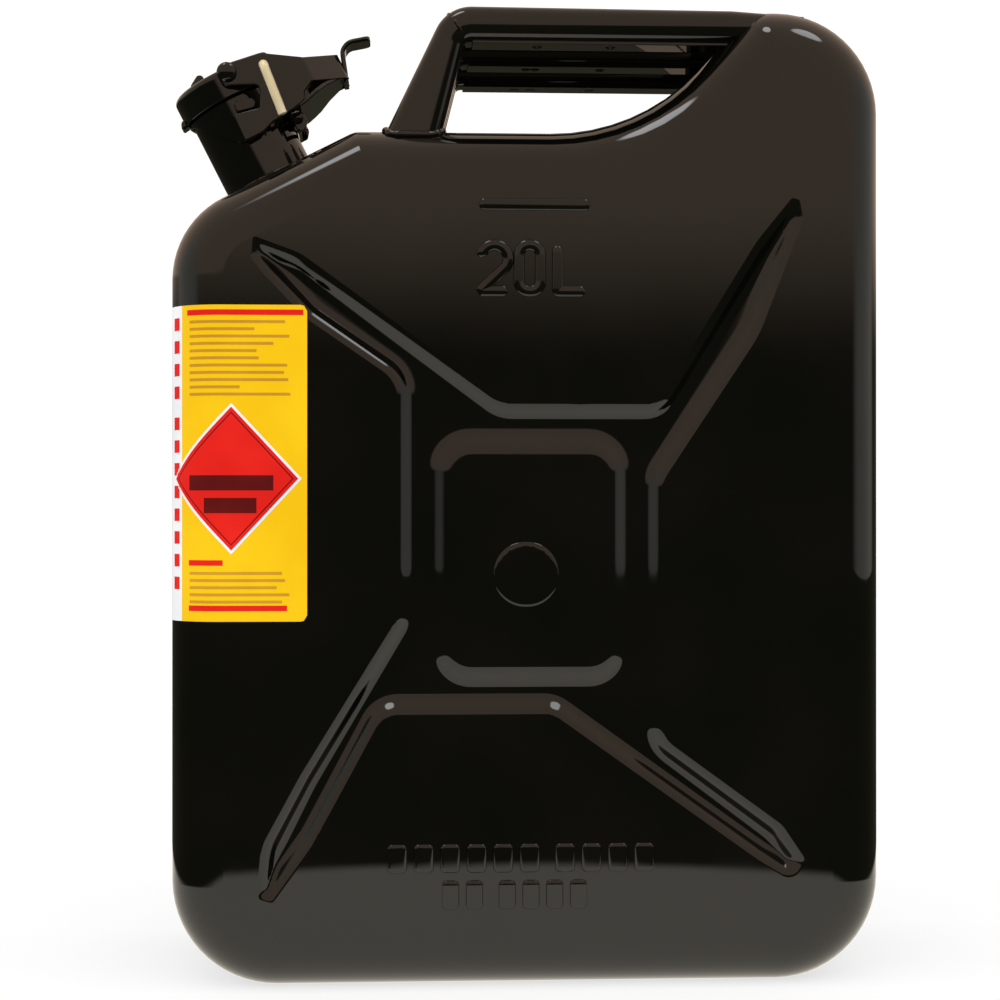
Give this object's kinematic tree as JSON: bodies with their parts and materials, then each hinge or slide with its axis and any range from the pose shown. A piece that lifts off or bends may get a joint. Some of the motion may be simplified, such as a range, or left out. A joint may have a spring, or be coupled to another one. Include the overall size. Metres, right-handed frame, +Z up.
{
  "type": "safety gas can",
  "caption": "Upright pressed-steel fuel can with a cross-ribbed body, parallel carrying handles and a tilted neck closed by a hinged lid, cam lever and locking pin.",
  "frame": {"origin": "bottom centre of the can body, on the seam plane between the two shells", "axes": "+Z up, +X from the filler neck toward the air hump along the handles, +Y from the front face to the rear face"},
  "size_m": [0.3485, 0.167, 0.4751],
  "materials": {
    "enamel": "gloss black baked enamel",
    "weld": "painted weld bead, slightly duller",
    "bare_steel": "plain drawn steel inside the can",
    "label_film": "yellow printed film, satin",
    "gasket_rubber": "fuel-resistant rubber",
    "yellow_zinc": "yellow-passivated zinc plated steel wire"
  },
  "bodies": {
    "can": {"front_shell": "enamel", "rear_shell": "enamel", "seam_weld": "weld", "breather_tube": "bare_steel", "wrap_label": "label_film", "front_handle_bar": "enamel", "front_handle_leg": "enamel", "front_handle_strip": "enamel", "middle_handle_bar": "enamel", "middle_handle_leg": "enamel", "middle_handle_strip": "enamel", "rear_handle_bar": "enamel", "rear_handle_leg": "enamel", "rear_handle_strip": "enamel", "filler_neck": "enamel", "neck_base_flange": "weld", "neck_collar": "enamel", "front_neck_lug": "enamel", "rear_neck_lug": "enamel", "hinge_bracket": "enamel", "hinge_pin": "enamel"},
    "lid": {"lid_cap": "enamel", "lid_bridge": "enamel", "lid_gasket": "gasket_rubber", "sealing_disc": "bare_steel", "gasket_rivet": "enamel", "lever_pivot_pin": "enamel"},
    "lever": {"cam_lever": "enamel", "thumb_tab": "enamel"},
    "lock": {"locking_pin": "yellow_zinc"}
  },
  "joints": [
    {"name": "lid_hinge", "type": "hinge", "parent": "can", "child": "lid", "pos_m": [-0.11356, 0, 0.42803], "axis": [0, 1, 0], "range_deg": [0, 95]},
    {"name": "lever_pivot", "type": "hinge", "parent": "lid", "child": "lever", "pos_m": [-0.14811, 0, 0.44803], "axis": [0, -1, 0], "range_deg": [0, 123.5]},
    {"name": "lock_slide", "type": "slide", "parent": "lever", "child": "lock", "axis": [0, -1, 0], "range_m": [0, 0.025]}
  ],
  "couplings": [
    {"joint": "lever_pivot", "follows": "lid_hinge", "ratio": 1.3}
  ]
}
